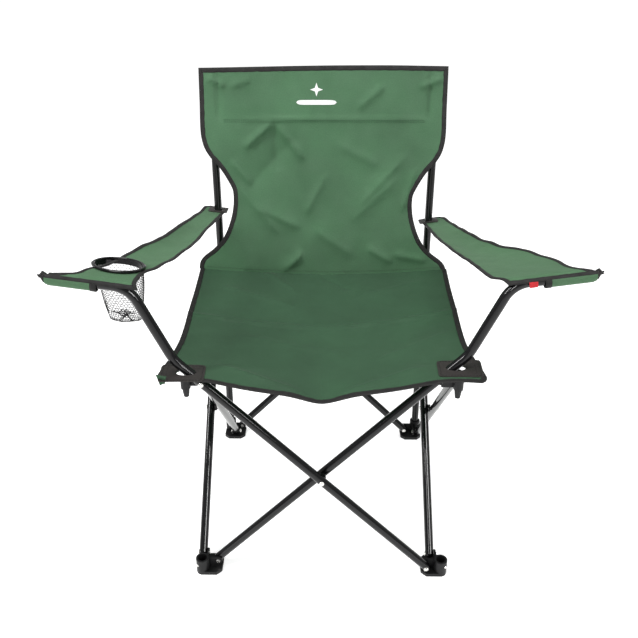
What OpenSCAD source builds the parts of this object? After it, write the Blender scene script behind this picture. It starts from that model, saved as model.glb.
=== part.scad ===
// Folding camp chair: four scissor pairs of round tube, plastic feet and hubs,
// back uprights, bent arm tubes, and soft seat, back and armrests.
// The chair faces -Y, the sitter's left is +X, and the floor is at z = 0.

/* [Frame] */
// Half the distance between two leg pivots on one side
pivot_half = 195; // [150:1:240]
// Height of the leg pivots above the floor
foot_pivot_z = 18; // [17:1:26]
// Height of the seat hub pivots above the floor
hub_pivot_z = 420; // [340:1:500]
// Distance from a pivot out to the plane of the next pair's lugs
corner_reach = 21; // [21:1:30]

/* [Tubes] */
// Outside diameter of every frame tube
tube_d = 16; // [14:0.5:19]
// Wall of every frame tube
tube_wall = 1; // [0.8:0.1:2]
// Thickness of the plastic lug between two tubes
lug_t = 3; // [2.5:0.5:5]
// Gap between a tube and the lug beside it
lug_gap = 0.5; // [0.3:0.1:1]

/* [Rivets] */
// Shank diameter of every rivet
rivet_d = 5; // [4:0.5:6]
// Head diameter of every rivet
rivet_head_d = 9; // [8:0.5:12]
// Radial clearance of a rivet in its holes
rivet_clear = 0.05; // [0.03:0.01:0.1]

/* [Feet and hubs] */
// Width of a foot
foot_w = 48; // [44:1:60]
// Height of a foot's socket
foot_h = 32; // [30:1:44]
// Thickness of a foot's base
foot_base = 7; // [5:0.5:8]
// Wall round a socket
socket_wall = 3.4; // [3:0.2:6]
// Radial clearance of an upright in its socket
socket_clear = 0.6; // [0.4:0.1:1]
// Length of the tapered stub under a hub
stub_len = 16; // [8:1:24]

/* [Uprights] */
// Height of the top of the uprights
upright_top = 806; // [700:2:900]
// Backward lean of the uprights
lean_back = 5.9; // [4:0.1:8]
// Outward lean of the uprights
lean_out = 0.55; // [0:0.05:1]

/* [Arms] */
// Distance from the hub pivot to the lower bend of an arm tube
arm_stub = 60; // [50:1:80]
// Length between the two bends of an arm tube
arm_rise = 137; // [110:1:170]
// Length of the arm tube past the upper bend
arm_end = 118; // [95:1:140]
// Angle of the rising stretch from the vertical
arm_rise_angle = 24; // [15:1:32]
// Upward slope of the arm tube's end
arm_end_slope = 8; // [4:1:12]
// Radius of the lower bend
bend_low_r = 70; // [50:1:90]
// Radius of the upper bend
bend_high_r = 45; // [35:1:55]

/* [Fabric] */
// Thickness of the fabric panels
cloth_t = 3; // [2:0.5:4]
// Half width of the seat at its front corners
seat_half_w = 258; // [240:1:290]
// Front edge of the seat, from the middle of the base
seat_front = 250; // [235:1:290]
// Rear edge of the seat, from the middle of the base
seat_rear = 200; // [190:1:206]
// Height of the seat above the hub pivots, at the seat's fold lines
seat_lift = 18; // [16:1:26]
// Slope of each seat half towards the middle
seat_slope = 11; // [6:1:14]
// Height of the top edge of the back
back_top = 820; // [720:2:920]
// Half width of the back at its top
back_half_w = 248; // [238:1:280]
// Half width of the back at its waist
waist_half_w = 187; // [160:1:200]
// Height of the back's waist
waist_z = 555; // [500:1:600]
// Depth of the pockets over the uprights
pocket_depth = 115; // [80:1:150]

/* [Armrests] */
// Height of the rear end of the left armrest
plate_left_z = 520; // [480:1:570]
// Height of the rear end of the right armrest
plate_right_z = 542; // [480:1:570]
// Width of an armrest at its rear end
armrest_rear_w = 48; // [40:1:60]
// Distance the armrest runs past the upright
armrest_tail = 26; // [18:1:40]

/* [Cup holder] */
// Inside radius of the cup ring
cup_r = 36.5; // [32:0.5:42]
// Depth of the net below the ring
cup_depth = 88; // [60:1:110]
// Distance of the ring's centre behind the arm tube
cup_back = 61; // [55:1:75]
// How much more the ring tips to the rear than the armrest does
cup_tilt = 3; // [0:1:4]

/* [Hidden] */
$fn = 64;

tube_r = tube_d / 2;
pocket_clear = 1;
pocket_wall = 2;
// Distance from the middle of the base to the plane of each side's lugs
lug_plane = pivot_half + corner_reach;
// Distance from a lug's plane to the axis of the tube beside it
tube_offset = lug_t / 2 + lug_gap + tube_r;
rise = hub_pivot_z - foot_pivot_z;
leg_len = sqrt(pow(2 * pivot_half, 2) + pow(rise, 2));
leg_angle = atan2(2 * pivot_half, rise);
rivet_r = rivet_d / 2;
hole_r = rivet_r + rivet_clear;
solid_end = tube_d * 0.7;

socket_r = tube_r + socket_clear;
boss_r = socket_r + socket_wall;
// A socket stands on the outward diagonal of its corner
socket_at = lug_plane + tube_offset - lug_t;
socket_floor = foot_base + 1;
lean_pivot_z = (socket_floor + foot_h) / 2;
foot_mid = socket_at + boss_r - foot_w / 2;
foot_chamfer = foot_w / 5;
lug_end = tube_r;
screw_d = 5.5;
screw_h = 1.6;
screw_sunk = 0.6;
screw_clear = 0.1;
// The lean the rear sockets are bored at, midway between open and folded
socket_lean = lean_back - 0.9;

post_at = lug_plane + tube_offset - 4;
post_r = tube_r;
post_top = hub_pivot_z + 6;
post_bottom = hub_pivot_z - 12;
collar_r = tube_r + 0.9;
collar_wall = 4;
// The collar's bore is a slot, because the upright leans less as the chair folds
collar_slot = 4.6;
collar_h = 22;

// The origin moves to the middle of the chair's depth
depth_shift = -(upright_y(back_top) + tube_r + pocket_clear + pocket_wall - seat_front) / 2;

low_turn = leg_angle - arm_rise_angle;
high_turn = 90 - arm_end_slope - arm_rise_angle;
bend_low_x = pivot_half + arm_stub * sin(leg_angle);
bend_low_z = hub_pivot_z + arm_stub * cos(leg_angle);
bend_high_x = bend_low_x + arm_rise * sin(arm_rise_angle);
bend_high_z = bend_low_z + arm_rise * cos(arm_rise_angle);
plug_len = 14;
cap_h = 4;

seat_hinge_x = pivot_half - 5;
seat_z = hub_pivot_z + seat_lift;
half_gap = 0.4;
patch_w = 58;
patch_d = 50;
patch_t = 1.2;
hole_len = tube_d * 2.3;
hole_w = tube_d * 1.4;
// Where a leg's axis crosses the middle of the seat's cloth and patch, along the slope
seat_hole_x = seat_hinge_x
    + ((seat_lift + (cloth_t + patch_t) / 2) * tan(leg_angle) + pivot_half - seat_hinge_x)
        / (cos(seat_slope) - sin(seat_slope) * tan(leg_angle));

// The back's tongue ends behind the seat's rear edge, and its top meets the pockets
seam_gap = 1;
back_tongue = 28;
back_tongue_half = 120;
back_low_y = seat_rear + cloth_t + seam_gap;
back_low_z = hub_pivot_z + 12 - back_tongue;
back_top_y = upright_y(back_top) - tube_r - pocket_clear - pocket_wall - 0.3;
back_lean = atan2(back_top_y - back_low_y, back_top - back_low_z);

sleeve_clear = 0.4;
sleeve_wall = 2;
sleeve_r = tube_r + sleeve_clear + sleeve_wall;
armrest_lift = tube_r + sleeve_clear + 0.4;
armrest_mid = 205;
plate_t = 2.4;
// Distance of the ring's centre out along the arm tube, from its upper bend
cup_x = 31;
ring_flange = 5.5;
ring_t = 3;
net_wall = 1.5;
net_taper = 7;

plastic = [0.06, 0.06, 0.065];
gloss_black = [0.03, 0.03, 0.03];
rivet_silver = [0.85, 0.85, 0.83];
seat_green = [0.19, 0.38, 0.25];
back_green = [0.24, 0.44, 0.29];
arm_green = [0.3, 0.49, 0.33];
binding_brown = [0.16, 0.14, 0.13];

function upright_x(z) = socket_at + (z - lean_pivot_z) * tan(lean_out);
function upright_y(z) = socket_at + (z - lean_pivot_z) * tan(lean_back);
// Height difference over depth of an armrest from its tube to its rear end
function armrest_drop(plate_z, tube_y) = atan2(
    bend_high_z - (bend_high_x - upright_x(plate_z)) * tan(arm_end_slope)
        + armrest_lift - plate_z,
    upright_y(plate_z) - tube_y
);

// ---- Placing ----

module in_depth() {
    translate([0, depth_shift, 0]) children();
}

module at_side(k) {
    in_depth() rotate([0, 0, 90 * k]) children();
}

module mirrored_if(on) {
    mirror([on ? 1 : 0, 0, 0]) children();
}

module on_upright(side) {
    mirrored_if(side < 0)
        translate([socket_at, socket_at, lean_pivot_z])
            rotate([-lean_back, lean_out, 0])
                children();
}

// ---- Tubes ----

// A bend that starts along +Z and turns towards +X
module elbow(bend_r, turn, r) {
    translate([bend_r, 0, 0])
        mirror([1, 0, 0])
            rotate([90, 0, 0])
                rotate_extrude(angle = turn)
                    translate([bend_r, 0])
                        circle(r = r);
}

module after_bend(bend_r, turn) {
    translate([bend_r, 0, 0])
        rotate([0, turn, 0])
            translate([-bend_r, 0, 0])
                children();
}

// Distance a bend takes off each straight beside it
function bend_trim(bend_r, turn) = bend_r * tan(turn / 2);

function low_trim() = bend_trim(bend_low_r, low_turn);
function high_trim() = bend_trim(bend_high_r, high_turn);
function arm_first() = leg_len + arm_stub - low_trim();
function arm_second() = arm_rise - low_trim() - high_trim();
function arm_third() = arm_end - high_trim();

// The whole length of an arm leg as a rod of one radius, from its foot pivot.
// It is drawn for a leg that leans towards +X.
module arm_rod(r, start) {
    translate([0, 0, start])
        cylinder(r = r, h = arm_first() - start);
    translate([0, 0, arm_first()])
        mirror([1, 0, 0]) {
            elbow(bend_low_r, low_turn, r);
            after_bend(bend_low_r, low_turn) {
                cylinder(r = r, h = arm_second());
                translate([0, 0, arm_second()])
                    mirror([1, 0, 0]) {
                        elbow(bend_high_r, high_turn, r);
                        after_bend(bend_high_r, high_turn)
                            cylinder(r = r, h = arm_third());
                    }
            }
        }
}

module rivet_holes(heights) {
    for (z = heights)
        translate([0, 0, z])
            rotate([90, 0, 0])
                cylinder(r = hole_r, h = tube_d * 2, center = true);
}

module straight_leg() {
    difference() {
        union() {
            cylinder(r = tube_r, h = leg_len);
            sphere(r = tube_r);
            translate([0, 0, leg_len]) sphere(r = tube_r);
        }
        translate([0, 0, solid_end])
            cylinder(r = tube_r - tube_wall, h = leg_len - 2 * solid_end);
        rivet_holes([0, leg_len / 2, leg_len]);
    }
}

module arm_leg() {
    difference() {
        union() {
            arm_rod(tube_r, 0);
            sphere(r = tube_r);
        }
        arm_rod(tube_r - tube_wall, solid_end);
        rivet_holes([0, leg_len / 2, leg_len]);
    }
}

module outer_leg_place(k) {
    at_side(k)
        translate([pivot_half, -(lug_plane + tube_offset), foot_pivot_z])
            rotate([0, -leg_angle, 0])
                children();
}

module inner_leg_place(k) {
    at_side(k)
        translate([-pivot_half, -(lug_plane - tube_offset), foot_pivot_z])
            rotate([0, leg_angle, 0])
                children();
}

module outer_leg(k) {
    color(gloss_black)
        outer_leg_place(k)
            if (k == 0) mirrored_if(true) arm_leg();
            else straight_leg();
}

module inner_leg(k) {
    color(gloss_black)
        inner_leg_place(k)
            if (k == 0) arm_leg();
            else straight_leg();
}

// A short plug with a rounded cap, set in the end of a tube
module end_plug() {
    color(plastic) {
        translate([0, 0, -plug_len])
            cylinder(r = tube_r - tube_wall - 0.05, h = plug_len);
        intersection() {
            cylinder(r = tube_r, h = cap_h);
            translate([0, 0, cap_h - tube_r * 1.5]) sphere(r = tube_r * 1.5);
        }
    }
}

module arm_plug(side) {
    tube_y = side > 0 ? -(lug_plane - tube_offset) : -(lug_plane + tube_offset);
    in_depth()
        mirrored_if(side < 0)
            translate([bend_high_x, tube_y, bend_high_z])
                rotate([0, 90 - arm_end_slope, 0])
                    translate([0, 0, arm_end])
                        end_plug();
}

module upright(side) {
    color(gloss_black)
        in_depth()
            on_upright(side)
                difference() {
                    bottom = socket_floor + 1 - lean_pivot_z;
                    translate([0, 0, bottom])
                        cylinder(r = tube_r, h = upright_top - lean_pivot_z - bottom);
                    translate([0, 0, bottom - 1])
                        cylinder(r = tube_r - tube_wall, h = upright_top);
                }
}

module upright_cap(side) {
    in_depth()
        on_upright(side)
            translate([0, 0, upright_top - lean_pivot_z])
                end_plug();
}

// ---- Rivets and spacers ----

// A rivet along +Z through a length, with a domed head on top and a formed tail
module rivet(grip) {
    head_h = rivet_head_d * 0.28;
    tail_h = 1.4;
    color(rivet_silver) {
        cylinder(r = rivet_r, h = grip);
        translate([0, 0, grip])
            intersection() {
                cylinder(d = rivet_head_d, h = head_h);
                translate([0, 0, head_h - rivet_head_d * 0.75])
                    sphere(r = rivet_head_d * 0.75);
            }
        translate([0, 0, -tail_h])
            cylinder(d = rivet_head_d - 1.5, h = tail_h);
    }
}

// The two rivets of a foot or hub, both through a lug and the tube beside it
module corner_rivets(z) {
    grip = lug_t + lug_gap + tube_d + 0.2;
    tail_face = lug_plane - lug_t / 2;
    translate([pivot_half, -tail_face, z])
        rotate([90, 0, 0])
            rivet(grip);
    mirror([1, 1, 0])
        translate([pivot_half, -lug_plane - lug_t / 2, z])
            rotate([-90, 0, 0])
                rivet(grip);
}

module cross_rivet(k) {
    grip = 2 * tube_offset + tube_d + 0.4;
    at_side(k)
        translate([0, -(lug_plane - tube_offset) + tube_r + 0.2, foot_pivot_z + rise / 2])
            rotate([90, 0, 0])
                rivet(grip);
}

module spacer(k) {
    spacer_len = 2 * (tube_offset - tube_r) - 0.4;
    color(plastic)
        at_side(k)
            translate([0, -lug_plane, foot_pivot_z + rise / 2])
                rotate([90, 0, 0])
                    difference() {
                        cylinder(d = tube_d * 0.95, h = spacer_len, center = true);
                        cylinder(r = hole_r, h = spacer_len * 2, center = true);
                    }
}

// ---- Feet and hubs ----

// A lug in the plane of one side, with a round end about its pivot
module lug(z, low, top, reach) {
    difference() {
        union() {
            translate([pivot_half, -lug_plane, z])
                rotate([90, 0, 0])
                    cylinder(r = lug_end, h = lug_t, center = true);
            translate([pivot_half, -lug_plane - lug_t / 2, low])
                cube([reach - pivot_half, lug_t, top - low]);
        }
        translate([pivot_half, -lug_plane, z])
            rotate([90, 0, 0])
                cylinder(r = hole_r, h = lug_t * 3, center = true);
    }
}

module both_lugs(z, low, top, reach) {
    lug(z, low, top, reach);
    mirror([1, 1, 0]) lug(z, low, top, reach);
}

module foot_outline() {
    h = foot_w / 2;
    c = foot_chamfer;
    translate([foot_mid, -foot_mid])
        polygon([
            [-h + c, -h], [h - c, -h], [h, -h + c], [h, h - c],
            [h - c, h], [-h + c, h], [-h, h - c], [-h, -h + c]
        ]);
}

// A foot at the corner (+X, -Y) of its own side's frame. A rear foot's socket
// is bored along the upright's lean, a front foot's straight down.
module foot(k, side) {
    color(plastic)
        difference() {
            at_side(k) {
                linear_extrude(foot_base) foot_outline();
                both_lugs(foot_pivot_z, 0, foot_pivot_z + lug_end, socket_at - 4);
                translate([socket_at, -socket_at, 0])
                    cylinder(r = boss_r, h = foot_h);
            }
            at_side(k)
                at_foot_screw()
                    translate([0, 0, -screw_clear])
                        cylinder(d = screw_d + 2 * screw_clear, h = screw_h);
            if (side == 0)
                at_side(k)
                    translate([socket_at, -socket_at, socket_floor])
                        cylinder(r = socket_r, h = foot_h);
            else
                in_depth()
                    mirrored_if(side < 0)
                        translate([socket_at, socket_at, lean_pivot_z])
                            rotate([-socket_lean, lean_out, 0])
                                translate([0, 0, socket_floor - lean_pivot_z])
                                    cylinder(r = socket_r, h = foot_h);
        }
}

module foot_rivets(k) {
    at_side(k) {
        corner_rivets(foot_pivot_z);
        color(rivet_silver)
            at_foot_screw()
                cylinder(d1 = screw_d, d2 = screw_d * 0.7, h = screw_h);
    }
}

// The place of a small screw in a socket's side, with Z outward
module at_foot_screw() {
    translate([socket_at, -socket_at, foot_h * 0.62])
        rotate([90, 0, 45])
            translate([0, 0, boss_r - screw_sunk])
                children();
}

module hub_body() {
    both_lugs(hub_pivot_z, post_bottom, hub_pivot_z + lug_end, post_at);
    translate([post_at, -post_at, post_bottom])
        cylinder(r = post_r, h = post_top - post_bottom);
    translate([post_at, -post_at, post_bottom - stub_len])
        cylinder(r1 = post_r * 0.55, r2 = post_r * 0.8, h = stub_len);
}

// The hub at the corner (-X, -Y) is the pattern, and the others are turns of it
module at_hub(k) {
    at_side(k) mirror([1, 0, 0]) children();
}

module front_hub(k) {
    color(plastic) at_hub(k) hub_body();
}

// A rear hub also has a collar that slides on the upright
module rear_hub(k, side) {
    collar_x = upright_x(hub_pivot_z);
    collar_y = upright_y(hub_pivot_z);
    color(plastic)
        difference() {
            union() {
                at_hub(k) hub_body();
                in_depth()
                    mirrored_if(side < 0) {
                        translate([collar_x, collar_y, post_bottom])
                            cylinder(r = collar_r + collar_wall, h = collar_h);
                        translate([collar_x, collar_y + collar_slot, post_bottom])
                            cylinder(r = collar_r + collar_wall, h = collar_h);
                        translate([collar_x - post_r, post_at, post_bottom])
                            cube([2 * post_r, collar_y - post_at, post_top - post_bottom]);
                    }
            }
            in_depth()
                mirrored_if(side < 0)
                    translate([collar_x, collar_y, hub_pivot_z])
                        rotate([-lean_back, lean_out, 0])
                            collar_bore();
        }
}

module collar_bore() {
    for (y = [0, collar_slot])
        translate([0, y, 0])
            cylinder(r = collar_r, h = collar_h * 2, center = true);
    translate([-collar_r, 0, -collar_h])
        cube([2 * collar_r, collar_slot, collar_h * 2]);
}

module hub_rivets(k) {
    at_hub(k) corner_rivets(hub_pivot_z);
}

// ---- Seat ----

// Puts a flat pattern for the left half on the seat's slope
module on_seat(side) {
    in_depth()
        mirrored_if(side < 0)
            translate([seat_hinge_x, 0, seat_z])
                rotate([0, -seat_slope, 0])
                    translate([-seat_hinge_x, 0, 0])
                        children();
}

function leg_through_y(side) = side > 0
    ? -(lug_plane - tube_offset)
    : -(lug_plane + tube_offset);

module slot_2d(len, w) {
    square([len - w, w], center = true);
    for (s = [-1, 1])
        translate([s * (len - w) / 2, 0])
            circle(d = w);
}

module seat_hole(side) {
    translate([seat_hole_x, leg_through_y(side)])
        slot_2d(hole_len, hole_w);
}

module seat_half(side) {
    w = seat_half_w;
    color(seat_green)
        on_seat(side)
            linear_extrude(cloth_t)
                difference() {
                    polygon([
                        [half_gap, -seat_front],
                        [w - 12, -seat_front],
                        [w, -seat_front + 14],
                        [w - 9, -seat_front + 130],
                        [w - 7, 0],
                        [w - 1, seat_rear],
                        [half_gap, seat_rear]
                    ]);
                    seat_hole(side);
                }
}

module seat_patch(side) {
    color(binding_brown)
        on_seat(side)
            translate([0, 0, cloth_t])
                linear_extrude(patch_t)
                    difference() {
                        translate([seat_hole_x, leg_through_y(side)])
                            square([patch_w, patch_d], center = true);
                        seat_hole(side);
                    }
}

// A loose flap of the binding under the right front corner
module corner_flap() {
    color(seat_green)
        on_seat(-1)
            translate([seat_half_w - 16, -seat_front + 4, -16])
                rotate([90, 0, 0])
                    linear_extrude(2.5)
                        polygon([[0, 16], [18, 16], [14, 0], [-2, 6]]);
}

// ---- Back ----

// Puts a pattern in the back's plane, with Z up along it from its tongue's end
module on_back() {
    in_depth()
        translate([0, back_low_y, back_low_z])
            rotate([-back_lean, 0, 0])
                children();
}

// Distance up the back's plane to a height
function along(z) = (z - back_low_z) / cos(back_lean);

module back_panel() {
    b = back_half_w;
    w = waist_half_w;
    half = [
        [back_tongue_half, 0],
        [back_tongue_half, back_tongue],
        [b + 8, back_tongue],
        [b - 22, along(waist_z - 92)],
        [w + 12, along(waist_z - 52)],
        [w, along(waist_z - 14)],
        [w, along(waist_z + 22)],
        [w + 18, along(waist_z + 72)],
        [b - 22, along(waist_z + 92)],
        [b - 4, along(waist_z + 118)],
        [b + 5, along(waist_z + 150)],
        [b, along(back_top)]
    ];
    mirrored_half = [for (i = [len(half) - 1:-1:0]) [-half[i][0], half[i][1]]];
    color(back_green)
        on_back()
            rotate([90, 0, 0])
                linear_extrude(cloth_t)
                    polygon(concat(half, mirrored_half));
}

// The pocket that closes over the top of an upright
module back_pocket(side) {
    inner = tube_r + pocket_clear;
    outer = inner + pocket_wall;
    top = back_top - lean_pivot_z;
    color(back_green)
        in_depth()
            on_upright(side)
                difference() {
                    translate([0, 0, top - pocket_depth])
                        cylinder(r = outer, h = pocket_depth);
                    translate([0, 0, top - pocket_depth - 1])
                        cylinder(r = inner, h = pocket_depth + 1 - pocket_wall);
                }
}

// ---- Armrests ----

// The frame of an arm tube's end: X along it, Z up from it
module at_arm_end(side) {
    in_depth()
        mirrored_if(side < 0)
            translate([bend_high_x, leg_through_y(side), bend_high_z])
                rotate([0, -arm_end_slope, 0])
                    children();
}

function plate_z(side) = side > 0 ? plate_left_z : plate_right_z;
function rest_drop(side) = armrest_drop(plate_z(side), leg_through_y(side));
function rest_len(side) = (upright_y(plate_z(side)) - leg_through_y(side))
    / cos(rest_drop(side));

module on_armrest(side) {
    at_arm_end(side)
        rotate([-rest_drop(side), 0, 0])
            translate([0, 0, armrest_lift])
                children();
}

// Height of the armrest's rear end over the arm tube's line
function rear_height(side) = armrest_lift * cos(rest_drop(side))
    - rest_len(side) * sin(rest_drop(side));
// Middle of the armrest's rear end along the arm tube's line, from the upper bend
function rear_mid(side) = (upright_x(plate_z(side)) - bend_high_x
    + rear_height(side) * sin(arm_end_slope)) / cos(arm_end_slope);

module armrest_outline(side) {
    tail = rest_len(side) + armrest_tail;
    x = rear_mid(side);
    h = armrest_rear_w / 2;
    polygon([
        [-24, 4], [arm_end + 2, 4], [92, 40], [80, 96], [58, 150], [32, 205],
        [x + h + 22, tail * 0.6], [x + h + 4, tail * 0.86], [x + h, tail],
        [x - h, tail], [x - h + 8, tail * 0.66], [-54, 218], [-40, 130], [-30, 60]
    ]);
}

module upright_hole(side) {
    translate([rear_mid(side), rest_len(side)])
        circle(r = tube_r + 2.6);
}

module armrest_front(side) {
    color(arm_green) {
        on_armrest(side)
            linear_extrude(cloth_t)
                difference() {
                    intersection() {
                        armrest_outline(side);
                        translate([-200, 0]) square([400, armrest_mid]);
                    }
                    if (side < 0)
                        translate([cup_x, cup_back]) circle(r = cup_r + ring_flange + 1);
                }
        at_arm_end(side)
            rotate([0, 90, 0])
                sleeve();
    }
}

// The cloth sleeve that the arm tube's end runs in
module sleeve() {
    sleeve_from = high_trim() + 8;
    difference() {
        translate([0, 0, sleeve_from])
            cylinder(r = sleeve_r, h = arm_end + cap_h + 3 - sleeve_from);
        translate([0, 0, sleeve_from - 1])
            cylinder(r = tube_r + sleeve_clear, h = arm_end + cap_h + 2 - sleeve_from);
    }
}

module armrest_rear(side) {
    color(arm_green)
        on_armrest(side)
            linear_extrude(cloth_t)
                difference() {
                    intersection() {
                        armrest_outline(side);
                        translate([-200, armrest_mid + 0.6]) square([400, 600]);
                    }
                    upright_hole(side);
                }
}

// The stiff eyelet plate that the upright runs through
module armrest_plate(side) {
    color(binding_brown)
        on_armrest(side)
            translate([rear_mid(side), rest_len(side), cloth_t])
                linear_extrude(plate_t)
                    difference() {
                        square([armrest_rear_w - 8, armrest_rear_w - 8], center = true);
                        circle(r = tube_r + 1.8);
                    }
}

// ---- Cup holder and tag ----

module at_cup() {
    on_armrest(-1)
        translate([cup_x, cup_back, 0])
            rotate([-cup_tilt, 0, 0])
                children();
}

module cup_ring() {
    color(gloss_black)
        at_cup()
            rotate_extrude()
                polygon([
                    [cup_r, -5], [cup_r + 1.7, -5], [cup_r + 1.7, cloth_t],
                    [cup_r + ring_flange, cloth_t],
                    [cup_r + ring_flange, cloth_t + ring_t - 1],
                    [cup_r + ring_flange - 2, cloth_t + ring_t],
                    [cup_r + 1, cloth_t + ring_t], [cup_r, cloth_t + ring_t - 1]
                ]);
}

module cup_net() {
    color(gloss_black)
        at_cup()
            translate([0, 0, -5 - cup_depth])
                difference() {
                    cylinder(r1 = cup_r - net_taper, r2 = cup_r + 1.7, h = cup_depth);
                    translate([0, 0, net_wall])
                        cylinder(
                            r1 = cup_r - net_taper - net_wall,
                            r2 = cup_r + 1.7 - net_wall,
                            h = cup_depth
                        );
                }
}

// A small cloth tag under the left armrest's front edge
module care_tag() {
    color([0.75, 0.1, 0.12])
        at_arm_end(1)
            translate([-8, 12, -8])
                cube([11, 1, 14]);
}

foot(0, 0);  // foot_front_left
foot(1, 1);  // foot_rear_left
foot(2, -1);  // foot_rear_right
foot(3, 0);  // foot_front_right
front_hub(0);  // hub_front_right
front_hub(1);  // hub_front_left
rear_hub(2, 1);  // hub_rear_left
rear_hub(3, -1);  // hub_rear_right
outer_leg(0);  // leg_front_outer
outer_leg(1);  // leg_left_outer
outer_leg(2);  // leg_rear_outer
outer_leg(3);  // leg_right_outer
inner_leg(0);  // leg_front_inner
inner_leg(1);  // leg_left_inner
inner_leg(2);  // leg_rear_inner
inner_leg(3);  // leg_right_inner
upright(1);  // upright_left
upright(-1);  // upright_right
upright_cap(1);  // upright_cap_left
upright_cap(-1);  // upright_cap_right
arm_plug(1);  // arm_plug_left
arm_plug(-1);  // arm_plug_right
spacer(0);  // spacer_front
spacer(1);  // spacer_left
spacer(2);  // spacer_rear
spacer(3);  // spacer_right
cross_rivet(0);  // cross_rivet_front
cross_rivet(1);  // cross_rivet_left
cross_rivet(2);  // cross_rivet_rear
cross_rivet(3);  // cross_rivet_right
foot_rivets(0);  // foot_rivets_front_left
foot_rivets(1);  // foot_rivets_rear_left
foot_rivets(2);  // foot_rivets_rear_right
foot_rivets(3);  // foot_rivets_front_right
hub_rivets(0);  // hub_rivets_front_right
hub_rivets(1);  // hub_rivets_front_left
hub_rivets(2);  // hub_rivets_rear_left
hub_rivets(3);  // hub_rivets_rear_right
seat_half(1);  // seat_left
seat_half(-1);  // seat_right
seat_patch(1);  // seat_patch_left
seat_patch(-1);  // seat_patch_right
back_panel();
back_pocket(1);  // back_pocket_left
back_pocket(-1);  // back_pocket_right
armrest_front(1);  // armrest_front_left
armrest_rear(1);  // armrest_rear_left
armrest_front(-1);  // armrest_front_right
armrest_rear(-1);  // armrest_rear_right
armrest_plate(1);  // armrest_plate_left
armrest_plate(-1);  // armrest_plate_right
cup_ring();
cup_net();
corner_flap();
care_tag();
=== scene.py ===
"""Looks of a folding camp chair: cloth, tapes, patches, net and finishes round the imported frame."""

import math
from bisect import bisect_right

import bmesh
import bpy
from bpy.props import FloatProperty, FloatVectorProperty, IntProperty, PointerProperty
from mathutils import Euler, Matrix, Vector, noise


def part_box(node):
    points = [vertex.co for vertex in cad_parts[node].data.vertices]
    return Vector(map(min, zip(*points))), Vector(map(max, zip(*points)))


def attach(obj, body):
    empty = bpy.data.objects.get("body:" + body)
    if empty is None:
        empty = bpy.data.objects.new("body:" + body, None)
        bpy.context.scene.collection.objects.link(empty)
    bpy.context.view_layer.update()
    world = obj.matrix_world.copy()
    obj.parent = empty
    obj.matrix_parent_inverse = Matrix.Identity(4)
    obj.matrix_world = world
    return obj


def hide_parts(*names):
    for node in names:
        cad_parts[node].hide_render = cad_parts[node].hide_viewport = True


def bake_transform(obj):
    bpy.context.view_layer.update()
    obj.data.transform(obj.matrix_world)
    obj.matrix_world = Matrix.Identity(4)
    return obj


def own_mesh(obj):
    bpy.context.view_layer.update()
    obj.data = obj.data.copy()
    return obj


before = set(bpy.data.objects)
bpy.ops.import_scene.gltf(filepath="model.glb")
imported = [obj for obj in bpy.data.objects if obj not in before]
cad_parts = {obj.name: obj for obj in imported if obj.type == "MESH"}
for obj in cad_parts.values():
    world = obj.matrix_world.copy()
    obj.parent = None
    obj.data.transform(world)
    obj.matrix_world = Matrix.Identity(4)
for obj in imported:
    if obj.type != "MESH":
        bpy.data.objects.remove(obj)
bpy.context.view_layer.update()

bl_info = {
    "name": "Camp Chair Looks",
    "version": (1, 0, 0),
    "blender": (4, 5, 0),
    "location": "View3D > Sidebar > Chair",
    "description": "Builds the cloth, trim and finishes of a folding camp chair",
    "category": "Object",
}

MM = 0.001
SIDES = {"left": 1, "right": -1}


# ---- Places taken from the frame ----


def middle(node):
    """Middle of a CAD node's box."""
    low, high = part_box(node)
    return (low + high) / 2


# The middle of the base lies between the front and rear feet
BASE_Y = (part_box("foot_front_left")[0].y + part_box("foot_rear_left")[1].y) / 2
# The seat's cloth lies over the rivets of the hubs
HUB_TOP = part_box("hub_front_left")[1].z
BACK_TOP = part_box("back_panel")[1].z
SEAT_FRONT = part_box("seat_left")[0].y - BASE_Y
SEAT_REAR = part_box("seat_left")[1].y - BASE_Y


def from_base(point):
    """A point of the row frame, measured from the middle of the base."""
    return Vector((point.x, point.y - BASE_Y, point.z))


def tube_radius(name):
    """Radius of one side's tubes, from the plug in its arm tube."""
    low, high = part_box(f"arm_plug_{name}")
    return (high.y - low.y) / 2


def upright_line(name):
    """(foot, direction) of an upright's axis, measured from the middle of the base."""
    low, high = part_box(f"upright_{name}")
    side = SIDES[name]
    radius = tube_radius(name)
    inner, outer = sorted((low.x, high.x), key=abs)
    bottom = Vector((inner + side * radius, low.y + radius - BASE_Y, low.z))
    top = Vector((outer - side * radius, high.y - radius - BASE_Y, high.z))
    return bottom, (top - bottom).normalized()


# ---- Sizes and colours ----


def size_property(name, description, default, low, high):
    """A length of the panel, given in millimetres."""
    return FloatProperty(
        name=name, description=description, default=default * MM, min=low * MM, max=high * MM,
        unit="LENGTH",
    )


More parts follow.
